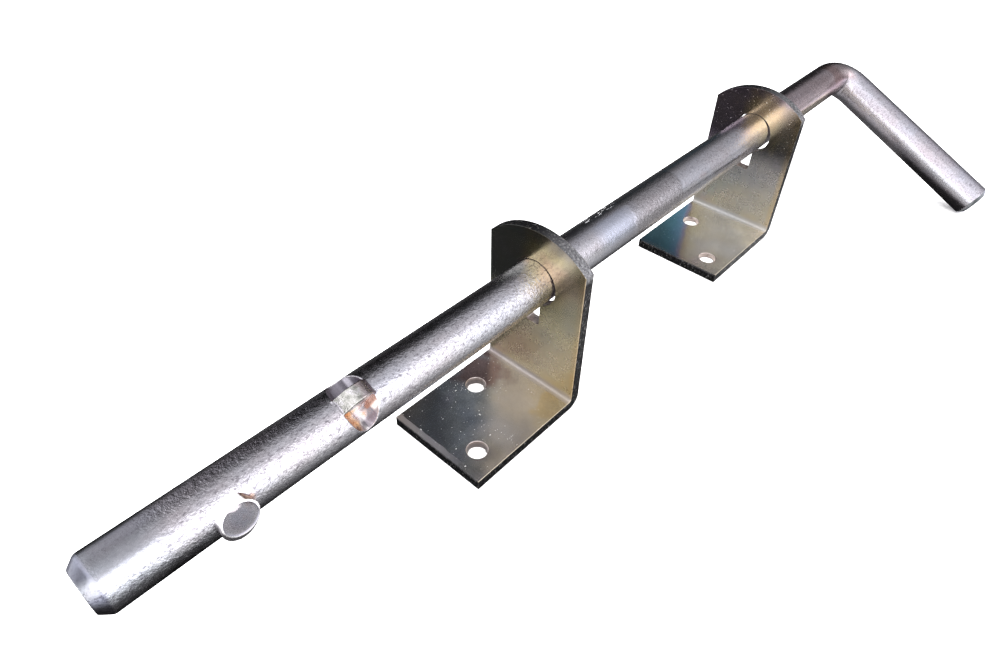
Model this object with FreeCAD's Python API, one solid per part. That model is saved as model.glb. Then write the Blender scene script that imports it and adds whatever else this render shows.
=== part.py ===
# Gate drop bolt: a bent round bar sliding and turning in two keyhole brackets.
# Millimetres. +X runs along the bar towards the handle (upwards on a gate), +Z away from the
# gate face, mounting faces of both brackets at Z = 0, X = 0 at the nose of the bar.
import FreeCAD, Part
import math
import os

V = FreeCAD.Vector

# bar
bar_d = 20.0
bar_axis_z = 60.0
handle_axis_x = 490.0
handle_len = 119.0
bend_r = 16.0
nose_chamfer = 3.4            # along the bar
nose_chamfer_deep = 2.6
handle_chamfer = 2.5
nose_len = 30.0
handle_dip = 25.96            # below the horizontal, handle end on the mounting plane

# pinched ear, 90 degrees ahead of the handle
ear_x = 89.6
ear_az = 115.5
ear_thick = 6.0
ear_reach = 13.5
ear_half_foot = 6.4
ear_blade_x = 90.2            # the blade stands a little past the middle of the marks
punch_r = 5.9
punch_centre = 7.3

# stop pin
pin_x = 41.0
pin_az = 171.0
pin_d = 13.2
pin_reach = 12.7
pin_seat = 6.0
pin_chamfer = 0.6

# brackets
br_w = 50.0
br_t = 5.0
br_base = 60.0                # free edge to the front of the upright
br_shoulder = 74.0
br_top = 84.0
br_front_lower = 186.0
br_front_upper = 374.0
bend_in = 1.5
bend_out = 6.0
key_r = 11.0
key_z = 59.2
slot_w = 7.0
slot_z = 37.5
fix_d = 9.0
fix_edge = 11.5
fix_pitch = 26.5
edge_chamfer = 0.4


def turn(shape, angle):
    s = shape.copy()
    s.rotate(V(0, 0, bar_axis_z), V(1, 0, 0), angle)
    return s


def bracket(front):
    """L bracket, upright facing -X, seen from the side in XZ and extruded along Y."""
    back = front + br_t
    free = front - br_base
    c = br_t
    ro, ri = bend_out, bend_in
    k = math.sqrt(0.5)
    e = []
    e.append(Part.makeLine(V(free, 0, 0), V(back - ro, 0, 0)))
    e.append(Part.Arc(V(back - ro, 0, 0), V(back - ro + ro * k, 0, ro - ro * k), V(back, 0, ro)).toShape())
    e.append(Part.makeLine(V(back, 0, ro), V(back, 0, br_top + 1)))
    e.append(Part.makeLine(V(back, 0, br_top + 1), V(front, 0, br_top + 1)))
    e.append(Part.makeLine(V(front, 0, br_top + 1), V(front, 0, c + ri)))
    e.append(Part.Arc(V(front, 0, c + ri), V(front - ri + ri * k, 0, c + ri - ri * k), V(front - ri, 0, c)).toShape())
    e.append(Part.makeLine(V(front - ri, 0, c), V(free, 0, c)))
    e.append(Part.makeLine(V(free, 0, c), V(free, 0, 0)))
    face = Part.Face(Part.Wire(e))
    face.translate(V(0, -br_w / 2, 0))
    body = face.extrude(V(0, br_w, 0))

    # domed top: keep what lies under an arc through the shoulders
    rise = br_top - br_shoulder
    dome_r = ((br_w / 2) ** 2 + rise ** 2) / (2 * rise)
    h = br_w / 2
    o = [
        Part.makeLine(V(front - 1, -h - 1, br_shoulder), V(front - 1, -h, br_shoulder)),
        Part.Arc(V(front - 1, -h, br_shoulder), V(front - 1, 0, br_top), V(front - 1, h, br_shoulder)).toShape(),
        Part.makeLine(V(front - 1, h, br_shoulder), V(front - 1, h + 1, br_shoulder)),
        Part.makeLine(V(front - 1, h + 1, br_shoulder), V(front - 1, h + 1, br_top + 3)),
        Part.makeLine(V(front - 1, h + 1, br_top + 3), V(front - 1, -h - 1, br_top + 3)),
        Part.makeLine(V(front - 1, -h - 1, br_top + 3), V(front - 1, -h - 1, br_shoulder)),
    ]
    cap = Part.Face(Part.Wire(o)).extrude(V(br_t + 2, 0, 0))
    body = body.cut(cap)

    # keyhole: round hole with a slot towards the base plate
    hole = Part.makeCylinder(key_r, br_t + 2, V(front - 1, 0, key_z), V(1, 0, 0))
    slot = Part.makeBox(br_t + 2, slot_w, key_z - slot_z, V(front - 1, -slot_w / 2, slot_z))
    body = body.cut(hole.fuse(slot))

    # two fixing holes on the diagonal of the base plate
    for x, y in ((free + fix_edge, -fix_pitch / 2), (free + fix_edge + fix_pitch, fix_pitch / 2)):
        body = body.cut(Part.makeCylinder(fix_d / 2, br_t + 2, V(x, y, -1), V(0, 0, 1)))
        cone = Part.makeCone(fix_d / 2, fix_d / 2 + edge_chamfer, edge_chamfer, V(x, y, br_t - edge_chamfer), V(0, 0, 1))
        body = body.cut(cone)
    return body.removeSplitter()


def bar():
    """Shank, bend and handle, built with the handle along +Y and turned to its rest."""
    r = bar_d / 2
    z = bar_axis_z
    shank = Part.makeCylinder(r, handle_axis_x - bend_r - nose_len, V(nose_len, 0, z), V(1, 0, 0))
    start = Part.Face(Part.Wire(Part.makeCircle(r, V(handle_axis_x - bend_r, 0, z), V(1, 0, 0))))
    elbow = start.revolve(V(handle_axis_x - bend_r, bend_r, z), V(0, 0, 1), 90)
    straight = handle_len - bend_r - handle_chamfer
    grip = Part.makeCylinder(r, straight, V(handle_axis_x, bend_r, z), V(0, 1, 0))
    tip = Part.makeCone(r, r - handle_chamfer, handle_chamfer, V(handle_axis_x, bend_r + straight, z), V(0, 1, 0))
    body = shank.fuse([elbow, grip, tip]).removeSplitter()
    body = turn(body, 180 + handle_dip)

    # ear: a blade left between two round punch marks, pushed out past the bar
    a = ear_thick / 2
    foot = math.sqrt(r * r - a * a) - 0.3
    left = V(ear_blade_x - ear_half_foot, -a, z + foot)
    top = V(ear_blade_x, -a, z + ear_reach)
    right = V(ear_blade_x + ear_half_foot, -a, z + foot)
    low_l = V(ear_blade_x - ear_half_foot, -a, z)
    low_r = V(ear_blade_x + ear_half_foot, -a, z)
    outline = Part.Wire([
        Part.makeLine(low_l, left),
        Part.Arc(left, top, right).toShape(),
        Part.makeLine(right, low_r),
        Part.makeLine(low_r, low_l),
    ])
    blade = Part.Face(outline).extrude(V(0, ear_thick, 0))
    marks = []
    for y0 in (a, -a - r):
        marks.append(Part.makeCylinder(punch_r, r, V(ear_x, y0, z + punch_centre), V(0, 1, 0)))
    # tools are built pointing up (azimuth 90) and turned to the ear's azimuth
    blade = turn(blade, ear_az - 90)
    body = body.fuse(blade)
    for m in marks:
        body = body.cut(turn(m, ear_az - 90))

    # seat of the stop pin
    seat = Part.makeCylinder(pin_d / 2, r + pin_seat + 2, V(pin_x, 0, z - pin_seat), V(0, 0, 1))
    body = body.cut(turn(seat, pin_az - 90))
    return body.removeSplitter()


def nose():
    """Plain round nose of the bar, the same in every turned position."""
    r = bar_d / 2
    z = bar_axis_z
    body = Part.makeCylinder(r, nose_len - nose_chamfer, V(nose_chamfer, 0, z), V(1, 0, 0))
    tip = Part.makeCone(r - nose_chamfer_deep, r, nose_chamfer, V(0, 0, z), V(1, 0, 0))
    return body.fuse(tip).removeSplitter()


def pin():
    z = bar_axis_z
    straight = pin_seat + pin_reach - pin_chamfer
    body = Part.makeCylinder(pin_d / 2, straight, V(pin_x, 0, z - pin_seat), V(0, 0, 1))
    end = Part.makeCone(pin_d / 2, pin_d / 2 - pin_chamfer, pin_chamfer, V(pin_x, 0, z - pin_seat + straight), V(0, 0, 1))
    return turn(body.fuse(end).removeSplitter(), pin_az - 90)


parts = {
    "bracket_lower": bracket(br_front_lower),
    "bracket_upper": bracket(br_front_upper),
    "bolt_nose": nose(),
    "bolt_bar": bar(),
    "stop_pin": pin(),
}

# the row's origin is the middle of the lower bracket's mounting face
origin = V((br_front_lower - br_base + br_front_lower + br_t) / 2, 0, 0)

os.makedirs("parts", exist_ok=True)
for name, shape in parts.items():
    shape.translate(origin * -1)
    shape.exportStep("parts/" + name + ".step")
    b = shape.BoundBox
    print(name, "solids", len(shape.Solids), "valid", shape.isValid(), "volume %.0f" % shape.Volume,
          "box %.2f %.2f %.2f  %.2f %.2f %.2f" % (b.XMin, b.YMin, b.ZMin, b.XMax, b.YMax, b.ZMax))
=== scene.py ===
"""Gate drop bolt: a bent round bar with a pinched ear and a stop pin in two keyhole brackets.

Row frame, metres. X along the bar (nose at -X), Z up from the table, Y across.
"""
import math

import bmesh
import bpy
import numpy as np
from mathutils import Matrix, Vector, noise


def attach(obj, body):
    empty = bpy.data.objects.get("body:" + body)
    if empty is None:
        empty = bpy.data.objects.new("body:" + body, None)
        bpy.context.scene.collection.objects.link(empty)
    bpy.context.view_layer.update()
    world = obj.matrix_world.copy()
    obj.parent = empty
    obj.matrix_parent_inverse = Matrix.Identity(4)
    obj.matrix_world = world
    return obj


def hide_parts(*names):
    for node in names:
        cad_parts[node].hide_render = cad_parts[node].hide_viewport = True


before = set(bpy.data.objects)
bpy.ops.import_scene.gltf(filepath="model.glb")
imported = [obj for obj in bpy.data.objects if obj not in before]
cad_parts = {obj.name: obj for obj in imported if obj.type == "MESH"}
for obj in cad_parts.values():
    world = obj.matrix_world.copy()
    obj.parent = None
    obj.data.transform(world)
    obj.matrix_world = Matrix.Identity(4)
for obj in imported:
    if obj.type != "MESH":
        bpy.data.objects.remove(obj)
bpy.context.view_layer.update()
SCENE = bpy.context.scene
MM = 0.001

# ---------------------------------------------------------------- sizes, millimetres, row frame
X0 = -158.5                  # nose of the bar
AXIS_Z = 60.0
R = 10.0
BEND_X = X0 + 490.0          # handle axis
BEND_R = 16.0
HANDLE = 119.0
DIP = math.radians(180 + 25.96)
NOSE = 30.0
NOSE_CH = 3.4                # along the bar
NOSE_IN = 2.6                # radial
TIP_CH = 2.5
EAR_X = X0 + 89.6
EAR_AZ = math.radians(115.5)
PIN_X = X0 + 41.0
PIN_AZ = math.radians(171.0)
PIN_R = 6.3
PIN_REACH = 12.7
STAIN_AZ = 160.0


# ---------------------------------------------------------------- mesh helpers
def new_object(name, verts, faces, smooth=True, scale=MM):
    me = bpy.data.meshes.new(name)
    me.from_pydata([tuple(float(c) * scale for c in v) for v in verts], [], faces)
    me.validate()
    me.update()
    if smooth:
        me.polygons.foreach_set("use_smooth", [True] * len(me.polygons))
    ob = bpy.data.objects.new(name, me)
    SCENE.collection.objects.link(ob)
    return ob


def apply_modifiers(ob):
    deps = bpy.context.evaluated_depsgraph_get()
    me = bpy.data.meshes.new_from_object(ob.evaluated_get(deps), preserve_all_data_layers=True, depsgraph=deps)
    old = ob.data
    ob.modifiers.clear()
    ob.data = me
    me.name = old.name
    bpy.data.meshes.remove(old)
    return ob


def smoothstep(a, b, t):
    t = np.clip((t - a) / (b - a), 0.0, 1.0)
    return t * t * (3 - 2 * t)


def smin(a, b, k):
    """Smooth minimum, k is the size of the blend."""
    h = np.clip(0.5 + 0.5 * (b - a) / k, 0.0, 1.0)
    return b * (1 - h) + a * h - k * h * (1 - h)


def smax(a, b, k):
    return -smin(-a, -b, k)


def fbm(x, y, z, size, octaves=3, seed=0.0):
    """Smooth noise about -1..1 at a feature size in millimetres."""
    p = Vector((x / size + seed, y / size - seed * 0.7, z / size + seed * 1.3))
    return noise.fractal(p, 1.0, 2.0, octaves, noise_basis="PERLIN_ORIGINAL")


def sharp_rings(ob, n, rings):
    """Marks whole rings of vertices as sharp edges, so shading doesn't run over them."""
    me = ob.data
    want = set(rings)
    flags = []
    for e in me.edges:
        a, b = e.vertices
        flags.append(a // n == b // n and a // n in want)
    me.attributes.new("sharp_edge", "BOOLEAN", "EDGE").data.foreach_set("value", flags)


def rings_to_faces(n_rings, n, first_cap=True, last_cap=True):
    faces = []
    for i in range(n_rings - 1):
        a, b = i * n, (i + 1) * n
        for j in range(n):
            k = (j + 1) % n
            faces.append((a + j, a + k, b + k, b + j))
    if first_cap:
        faces.append(tuple(range(n - 1, -1, -1)))
    if last_cap:
        a = (n_rings - 1) * n
        faces.append(tuple(a + j for j in range(n)))
    return faces


# ---------------------------------------------------------------- the bar
def build_bar():
    n = 288
    az = np.linspace(0, 2 * np.pi, n, endpoint=False)
    # stations along the centre line
    xs = list(np.arange(X0 + NOSE, PIN_X + 9.0, 1.0))
    xs += list(np.arange(PIN_X + 9.0, EAR_X - 10.5, 1.5))
    xs += list(np.arange(EAR_X - 10.5, EAR_X + 10.5, 0.2))
    xs += list(np.arange(EAR_X + 10.5, BEND_X - BEND_R - 0.5, 2.0))
    verts = []
    for x in xs:
        ring = bar_section(np.full(n, x), az)
        for a, r in zip(az, ring):
            verts.append((x, r * math.cos(a), AXIS_Z + r * math.sin(a)))
    rings = len(xs)
    # elbow and handle, in the plane turned down by DIP
    hy, hz = math.cos(DIP), math.sin(DIP)
    bx = BEND_X - BEND_R
    m = 64
    for i in range(m + 1):
        th = math.pi / 2 * i / m
        # section in the plane through the bend's centre line
        inner = elbow_inner(th)
        u0 = np.cos(az - DIP)            # +1 towards the handle side (inner side of the bend)
        w0 = np.sin(az - DIP)
        # distance from the bend's centre
        a_in = BEND_R - inner
        flat = np.where(u0 > 0, a_in, R)
        dd = BEND_R - u0 * flat
        bulge = 1.0 + 0.02 * math.sin(2 * th)
        ww = w0 * R * bulge
        for q in range(n):
            d = dd[q]
            px = bx + d * math.sin(th)
            py = BEND_R - d * math.cos(th)      # along the handle's direction
            # w is along the axis perpendicular to the bend's plane
            wy, wz = -math.sin(DIP), math.cos(DIP)
            verts.append((px, py * hy + ww[q] * wy, AXIS_Z + py * hz + ww[q] * wz))
        rings += 1
    L = HANDLE
    s = list(np.arange(BEND_R + 2.0, L - TIP_CH - 0.6, 2.0)) + [L - TIP_CH - 0.45]
    tip = []
    k = 6
    for i in range(k + 1):
        f = i / k
        tip.append((L - TIP_CH - 0.3 + 0.3 * f, R - 0.3 * (1 - math.cos(f * math.pi / 4)) ))
    tip += [(L - TIP_CH * 0.5, R - TIP_CH * 0.5 - 0.05), (L - 0.35, R - TIP_CH + 0.25), (L - 0.1, R - TIP_CH - 0.05),
            (L, R - TIP_CH - 0.45), (L, R * 0.45), (L, R * 0.2)]
    prof = [(v, R) for v in s] + tip
    wy, wz = -math.sin(DIP), math.cos(DIP)
    for v, r in prof:
        for a in az:
            u0 = math.cos(a - DIP)
            w0 = math.sin(a - DIP)
            px = BEND_X - u0 * r
            verts.append((px, v * hy + w0 * r * wy, AXIS_Z + v * hz + w0 * r * wz))
        rings += 1
    faces = rings_to_faces(rings, n)
    ob = new_object("bar_bent", verts, faces)
    sharp_rings(ob, n, [0])
    return ob


def elbow_inner(th):
    """Distance of the inner side from the bend's centre: two straight sides meeting in a tight corner."""
    d = 6.0 / max(math.cos(th), math.sin(th), 0.5)
    k = 1.0 - abs(th - math.pi / 4) / 0.16
    return d - 0.35 * k * k if k > 0 else d


def bar_section(x, az):
    """Radius of the straight bar at x for each azimuth, with the pinched ear: a blade between two round marks."""
    r = np.full(az.shape, R)
    dx = x[0] - EAR_X
    if abs(dx) > 10.3:
        return r
    d = (az - EAR_AZ + np.pi) % (2 * np.pi) - np.pi
    ad = np.abs(d)
    near = ad < 1.45
    adn = np.where(near, np.maximum(ad, 1e-4), 1.45)
    # the blade stands parallel-sided, its back arched along the bar
    db = dx - 0.7
    arch = 13.5 - 3.6 * (abs(db) / (6.9 if db < 0 else 6.2)) ** (1.6 if db < 0 else 2.6)
    top = arch / np.cos(adn)
    side = 3.0 / np.sin(adn)
    blade = smin(top, side, 0.7)
    # the marks are shallow bowls, deepest in the middle, their floors square to the blade
    floor_h = 1.4 + 8.2 * (dx / 6.5) ** 2
    pocket = smin(np.full(az.shape, R), floor_h / np.cos(adn), 0.4)
    pocket = np.where(near, pocket, R)
    ease = float(smoothstep(-4.0, -6.2, dx))
    both = smax(pocket, np.minimum(blade, 14.0), 0.35 + 1.0 * ease)
    lift = 0.09 + 0.22 * ease
    both = np.where(both - np.maximum(pocket, blade) > lift, np.maximum(pocket, blade) + lift, both)
    fade = smoothstep(0.0, 0.25, np.abs(both - R)) * smoothstep(1.45, 1.40, adn)
    return np.where(near, np.where(np.abs(blade - R) > 3.0, np.maximum(pocket, np.minimum(blade, 14.0)), R + (both - R) * fade), R)


bar = build_bar()
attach(bar, "bolt")
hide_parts("bolt_bar")


def build_nose():
    n = 288
    az = np.linspace(0, 2 * np.pi, n, endpoint=False)
    end = R - NOSE_IN
    prof = [(0.0, 1.2), (0.0, 4.0), (0.0, end - 0.5), (0.07, end - 0.12), (0.28, end + 0.16),
            (NOSE_CH * 0.5, R - NOSE_IN * 0.5), (NOSE_CH - 0.6, R - 0.42), (NOSE_CH - 0.1, R - 0.16), (NOSE_CH + 0.35, R - 0.04),
            (NOSE_CH + 0.8, R), (NOSE_CH + 3, R)]
    prof += [(v, R) for v in np.arange(NOSE_CH + 5, NOSE - 0.5, 2.0)] + [(NOSE, R)]
    verts = []
    for v, r in prof:
        for a in az:
            verts.append((X0 + v, r * math.cos(a), AXIS_Z + r * math.sin(a)))
    ob = new_object("bar_nose", verts, rings_to_faces(len(prof), n))
    sharp_rings(ob, n, [len(prof) - 1])
    return ob


nose = build_nose()
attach(nose, "nose")
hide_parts("bolt_nose")


def build_pin():
    n = 96
    prof = [(-5.5, PIN_R - 0.3), (-5.5 + 0.3, PIN_R)] + [(v, PIN_R) for v in np.arange(-4, PIN_REACH - 1.2, 1.0)]
    e = PIN_REACH
    # rounded rim, a raised lip inside it and a flat face a little lower
    prof += [(e - 0.60, PIN_R), (e - 0.44, PIN_R - 0.03), (e - 0.30, PIN_R - 0.10), (e - 0.18, PIN_R - 0.20), (e - 0.08, PIN_R - 0.33),
             (e - 0.02, PIN_R - 0.46), (e, PIN_R - 0.54), (e - 0.03, PIN_R - 0.62), (e - 0.09, PIN_R - 0.70), (e - 0.17, PIN_R - 0.78),
             (e - 0.24, PIN_R - 0.88), (e - 0.28, PIN_R - 1.0), (e - 0.30, PIN_R - 1.15), (e - 0.30, 4.4), (e - 0.28, 3.4), (e - 0.25, 2.2), (e - 0.24, 1.0), (e - 0.24, 0.5)]
    c, s = math.cos(PIN_AZ), math.sin(PIN_AZ)
    verts = []
    for v, r in prof:
        for k in range(n):
            a = 2 * math.pi * k / n
            full = 1.15 * max(0.0, math.cos(a - math.radians(118))) ** 2 * float(smoothstep(PIN_R - 0.5, PIN_R - 0.1, r)) * float(smoothstep(0.0, 8.0, v))
            x = (r + full) * math.cos(a)
            t = (r + full) * math.sin(a)
            verts.append((PIN_X + x, v * c - t * s, AXIS_Z + v * s + t * c))
    ob = new_object("pin_round", verts, rings_to_faces(len(prof), n))
    return ob


pin = build_pin()
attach(pin, "bolt")
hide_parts("stop_pin")


# ---------------------------------------------------------------- brackets
def build_bracket(name, front):
    """L plate with a rounded bend, a keyhole, a domed top and two fixing holes."""
    T = 5.0
    back = front + T
    free = front - 60.0
    ro, ri = 6.0, 1.5
    h = 25.0
    prof = [(free, 0.0), (back - ro, 0.0)]
    for i in range(1, 13):
        a = -math.pi / 2 + math.pi / 2 * i / 12
        prof.append((back - ro + ro * math.cos(a), ro + ro * math.sin(a)))
    prof.append((back, 86.0))
    prof.append((front, 86.0))
    for i in range(0, 9):
        a = -math.pi / 2 * i / 8
        prof.append((front - ri + ri * math.cos(a), T + ri + ri * math.sin(a)))
    prof.append((free, T))
    bm = bmesh.new()
    vs = [bm.verts.new((p[0] * MM, -h * MM, p[1] * MM)) for p in prof]
    f = bm.faces.new(vs)
    ext = bmesh.ops.extrude_face_region(bm, geom=[f])
    moved = [g for g in ext["geom"] if isinstance(g, bmesh.types.BMVert)]
    bmesh.ops.translate(bm, verts=moved, vec=(0, 2 * h * MM, 0))
    bmesh.ops.recalc_face_normals(bm, faces=bm.faces)
    me = bpy.data.meshes.new(name)
    bm.to_mesh(me)
    bm.free()
    ob = bpy.data.objects.new(name, me)
    SCENE.collection.objects.link(ob)

    def cutter(outline, axis, lo, hi):
        b = bmesh.new()
        pts = []
        for u, v in outline:
            if axis == "x":
                pts.append(b.verts.new((lo * MM, u * MM, v * MM)))
            else:
                pts.append(b.verts.new((u * MM, v * MM, lo * MM)))
        fa = b.faces.new(pts)
        e = bmesh.ops.extrude_face_region(b, geom=[fa])
        mv = [g for g in e["geom"] if isinstance(g, bmesh.types.BMVert)]
        vec = ((hi - lo) * MM, 0, 0) if axis == "x" else (0, 0, (hi - lo) * MM)
        bmesh.ops.translate(b, verts=mv, vec=vec)
        bmesh.ops.recalc_face_normals(b, faces=b.faces)
        m = bpy.data.meshes.new("cut")
        b.to_mesh(m)
        b.free()
        o = bpy.data.objects.new("cut", m)
        SCENE.collection.objects.link(o)
        return o

    cuts = []
    # dome: everything above the arc through the shoulders
    rise = 10.0
    rr = (h * h + rise * rise) / (2 * rise)
    cz = 84.0 - rr
    a0 = math.asin(h / rr)
    arc = [(rr * math.sin(t), cz + rr * math.cos(t)) for t in np.linspace(-a0 * 1.02, a0 * 1.02, 49)]
    arc += [(h + 4, 74.0 - 1), (h + 4, 90), (-h - 4, 90), (-h - 4, 74.0 - 1)]
    cuts.append(cutter(arc, "x", front - 2, back + 2))
    # keyhole
    kr, kz, sw, sz = 11.0, 59.2, 7.0, 37.5
    a1 = math.asin(sw / 2 / kr)
    key = []
    for t in np.linspace(-math.pi / 2 + a1, 3 * math.pi / 2 - a1, 97):
        key.append((kr * math.cos(t), kz + kr * math.sin(t)))
    cr = 0.8
    key += [(-sw / 2, sz + cr), (-sw / 2 + 0.24, sz + 0.24), (-sw / 2 + cr, sz), (sw / 2 - cr, sz), (sw / 2 - 0.24, sz + 0.24), (sw / 2, sz + cr)]
    cuts.append(cutter(key, "x", front - 2, back + 2))
    for x, y in ((free + 11.5, -13.25), (free + 38.0, 13.25)):
        circ = [(x + 4.5 * math.cos(t), y + 4.5 * math.sin(t)) for t in np.linspace(0, 2 * math.pi, 64, endpoint=False)]
        cuts.append(cutter(circ, "z", -2, T + 2))
        flare = bmesh.new()
        rings = []
        for zz, rr2 in ((T - 0.35, 4.45), (T + 0.2, 5.0)):
            rings.append([flare.verts.new(((x + rr2 * math.cos(t)) * MM, (y + rr2 * math.sin(t)) * MM, zz * MM)) for t in np.linspace(0, 2 * math.pi, 64, endpoint=False)])
        for i in range(64):
            flare.faces.new((rings[0][i], rings[0][(i + 1) % 64], rings[1][(i + 1) % 64], rings[1][i]))
        flare.faces.new(rings[0][::-1])
        flare.faces.new(rings[1])
        bmesh.ops.recalc_face_normals(flare, faces=flare.faces)
        fm = bpy.data.meshes.new("cut")
        flare.to_mesh(fm)
        flare.free()
        fo = bpy.data.objects.new("cut", fm)
        SCENE.collection.objects.link(fo)
        cuts.append(fo)
    for c in cuts:
        md = ob.modifiers.new("cut", "BOOLEAN")
        md.operation = "DIFFERENCE"
        md.solver = "EXACT"
        md.object = c
    apply_modifiers(ob)
    for c in cuts:
        m = c.data
        bpy.data.objects.remove(c)
        bpy.data.meshes.remove(m)
    bm = bmesh.new()
    bm.from_mesh(ob.data)
    bmesh.ops.remove_doubles(bm, verts=bm.verts, dist=2e-6)
    bmesh.ops.dissolve_limit(bm, angle_limit=math.radians(0.5), verts=bm.verts, edges=bm.edges)
    for f in bm.faces:
        f.smooth = True
    bm.to_mesh(ob.data)
    bm.free()
    bev = ob.modifiers.new("bevel", "BEVEL")
    bev.width = 0.32 * MM
    bev.segments = 3
    bev.limit_method = "ANGLE"
    bev.angle_limit = math.radians(40)
    bev.harden_normals = False
    bev.miter_outer = "MITER_ARC"
    wn = ob.modifiers.new("wn", "WEIGHTED_NORMAL")
    wn.keep_sharp = False
    apply_modifiers(ob)
    me = ob.data
    # sheared and drilled faces: everything that isn't the rolled flat, the bend or a rounded edge
    for f in me.polygons:
        c = f.center / MM
        nx, ny, nz = f.normal
        sheared = 0
        if abs(ny) > 0.985 and abs(c.y) > h - 0.02:
            sheared = 1
        elif nx < -0.985 and c.z < T and c.x < free + 1.0:
            sheared = 1
        elif abs(nx) < 0.1 and c.z > T + ri + 1.0:
            sheared = 2 if math.hypot(c.y, c.z - kz) < kr + 0.1 or abs(c.y) < sw / 2 + 0.1 and c.z < kz else 1
        elif abs(nz) < 0.9 and 0.3 < c.z < T - 0.03 and abs(c.y) < h - 1.0 and free + 1.0 < c.x < front - 5.0:
            sheared = 2 if abs(nz) > 0.3 else 3
        f.material_index = sheared
    return ob


brackets = []
for name, node, front in (("bracket_plate_lower", "bracket_lower", X0 + 186.0), ("bracket_plate_upper", "bracket_upper", X0 + 374.0)):
    b = build_bracket(name, front)
    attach(b, "brackets")
    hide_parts(node)
    brackets.append(b)


# ---------------------------------------------------------------- materials
class Net:
    """Small helper for node trees."""

    def __init__(self, name, tree=None):
        if tree is not None:
            self.nt = tree
            self.nt.nodes.clear()
            return
        self.mat = bpy.data.materials.new(name)
        self.mat.use_nodes = True
        self.nt = self.mat.node_tree
        self.nt.nodes.clear()
        self.out = self.nt.nodes.new("ShaderNodeOutputMaterial")
        self.bsdf = self.nt.nodes.new("ShaderNodeBsdfPrincipled")
        self.link(self.bsdf.outputs[0], self.out.inputs[0])

    def link(self, a, b):
        self.nt.links.new(a, b)

    def node(self, kind, **props):
        n = self.nt.nodes.new(kind)
        for k, v in props.items():
            setattr(n, k, v)
        return n

    def put(self, sock, val):
        if isinstance(val, bpy.types.NodeSocket):
            self.link(val, sock)
        else:
            sock.default_value = val

    def coords(self, scale=(1, 1, 1), loc=(0, 0, 0), rot=(0, 0, 0)):
        t = self.node("ShaderNodeTexCoord")
        m = self.node("ShaderNodeMapping")
        self.link(t.outputs["Object"], m.inputs["Vector"])
        m.inputs["Scale"].default_value = scale
        m.inputs["Location"].default_value = loc
        m.inputs["Rotation"].default_value = rot
        return m.outputs[0]

    def noise(self, vec, scale, detail=3.0, rough=0.55, dist=0.0, lac=2.0):
        n = self.node("ShaderNodeTexNoise")
        self.link(vec, n.inputs["Vector"])
        n.inputs["Scale"].default_value = scale
        n.inputs["Detail"].default_value = detail
        n.inputs["Roughness"].default_value = rough
        n.inputs["Distortion"].default_value = dist
        n.inputs["Lacunarity"].default_value = lac
        return n.outputs["Fac"]

    def voronoi(self, vec, scale, feature="F1", rand=1.0):
        n = self.node("ShaderNodeTexVoronoi", feature=feature)
        self.link(vec, n.inputs["Vector"])
        n.inputs["Scale"].default_value = scale
        n.inputs["Randomness"].default_value = rand
        return n

    def ramp(self, fac, stops, interp="LINEAR"):
        n = self.node("ShaderNodeValToRGB")
        n.color_ramp.interpolation = interp
        el = n.color_ramp.elements
        while len(el) > 1:
            el.remove(el[-1])
        first = True
        for p, c in stops:
            if not isinstance(c, (tuple, list)):
                c = (c, c, c)
            c = tuple(c)[:3] + (1.0,)
            if first:
                el[0].position = p
                el[0].color = c
                first = False
            else:
                e = el.new(p)
                e.color = c
        self.link(fac, n.inputs["Fac"])
        return n.outputs["Color"]

    def mix(self, fac, a, b, mode="MIX"):
        n = self.node("ShaderNodeMix", data_type="RGBA", blend_type=mode)
        self.put(n.inputs[0], fac)
        for s, v in ((n.inputs[6], a), (n.inputs[7], b)):
            if isinstance(v, bpy.types.NodeSocket):
                self.link(v, s)
            else:
                s.default_value = tuple(v)[:3] + (1.0,)
        return n.outputs[2]

    def math(self, op, a, b=0.0, c=None, clamp=False):
        n = self.node("ShaderNodeMath", operation=op)
        n.use_clamp = clamp
        self.put(n.inputs[0], a)
        self.put(n.inputs[1], b)
        if c is not None:
            self.put(n.inputs[2], c)
        return n.outputs[0]

    def map(self, v, a, b, c=0.0, d=1.0, smooth=True):
        n = self.node("ShaderNodeMapRange", interpolation_type="SMOOTHSTEP" if smooth else "LINEAR")
        self.link(v, n.inputs["Value"])
        n.inputs["From Min"].default_value = a
        n.inputs["From Max"].default_value = b
        n.inputs["To Min"].default_value = c
        n.inputs["To Max"].default_value = d
        return n.outputs[0]

    def xyz(self, vec):
        n = self.node("ShaderNodeSeparateXYZ")
        self.link(vec, n.inputs[0])
        return n.outputs[0], n.outputs[1], n.outputs[2]

    def dot(self, vec, d):
        n = self.node("ShaderNodeVectorMath", operation="DOT_PRODUCT")
        self.link(vec, n.inputs[0])
        n.inputs[1].default_value = d
        return n.outputs["Value"]

    def mul(self, *vals):
        out = vals[0]
        for v in vals[1:]:
            out = self.math("MULTIPLY", out, v)
        return out

    def inv(self, v):
        return self.math("SUBTRACT", 1.0, v)

    def band(self, v, a, b, soft):
        """1 between a and b, with soft ends."""
        return self.mul(self.map(v, a - soft, a + soft), self.map(v, b + soft, b - soft))

    def specks(self, vec, scale, size, share):
        """Small separate dots: scale is cells per metre, size in cells, share how many cells hold one."""
        n = self.voronoi(vec, scale)
        sep = self.node("ShaderNodeSeparateColor")
        self.link(n.outputs["Color"], sep.inputs[0])
        on = self.map(sep.outputs[0], share + 0.01, share - 0.01)
        big = self.map(sep.outputs[1], 0.0, 1.0, size * 0.5, size, smooth=False)
        d = self.math("DIVIDE", n.outputs["Distance"], big)
        return self.mul(on, self.map(d, 1.0, 0.6))

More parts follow.
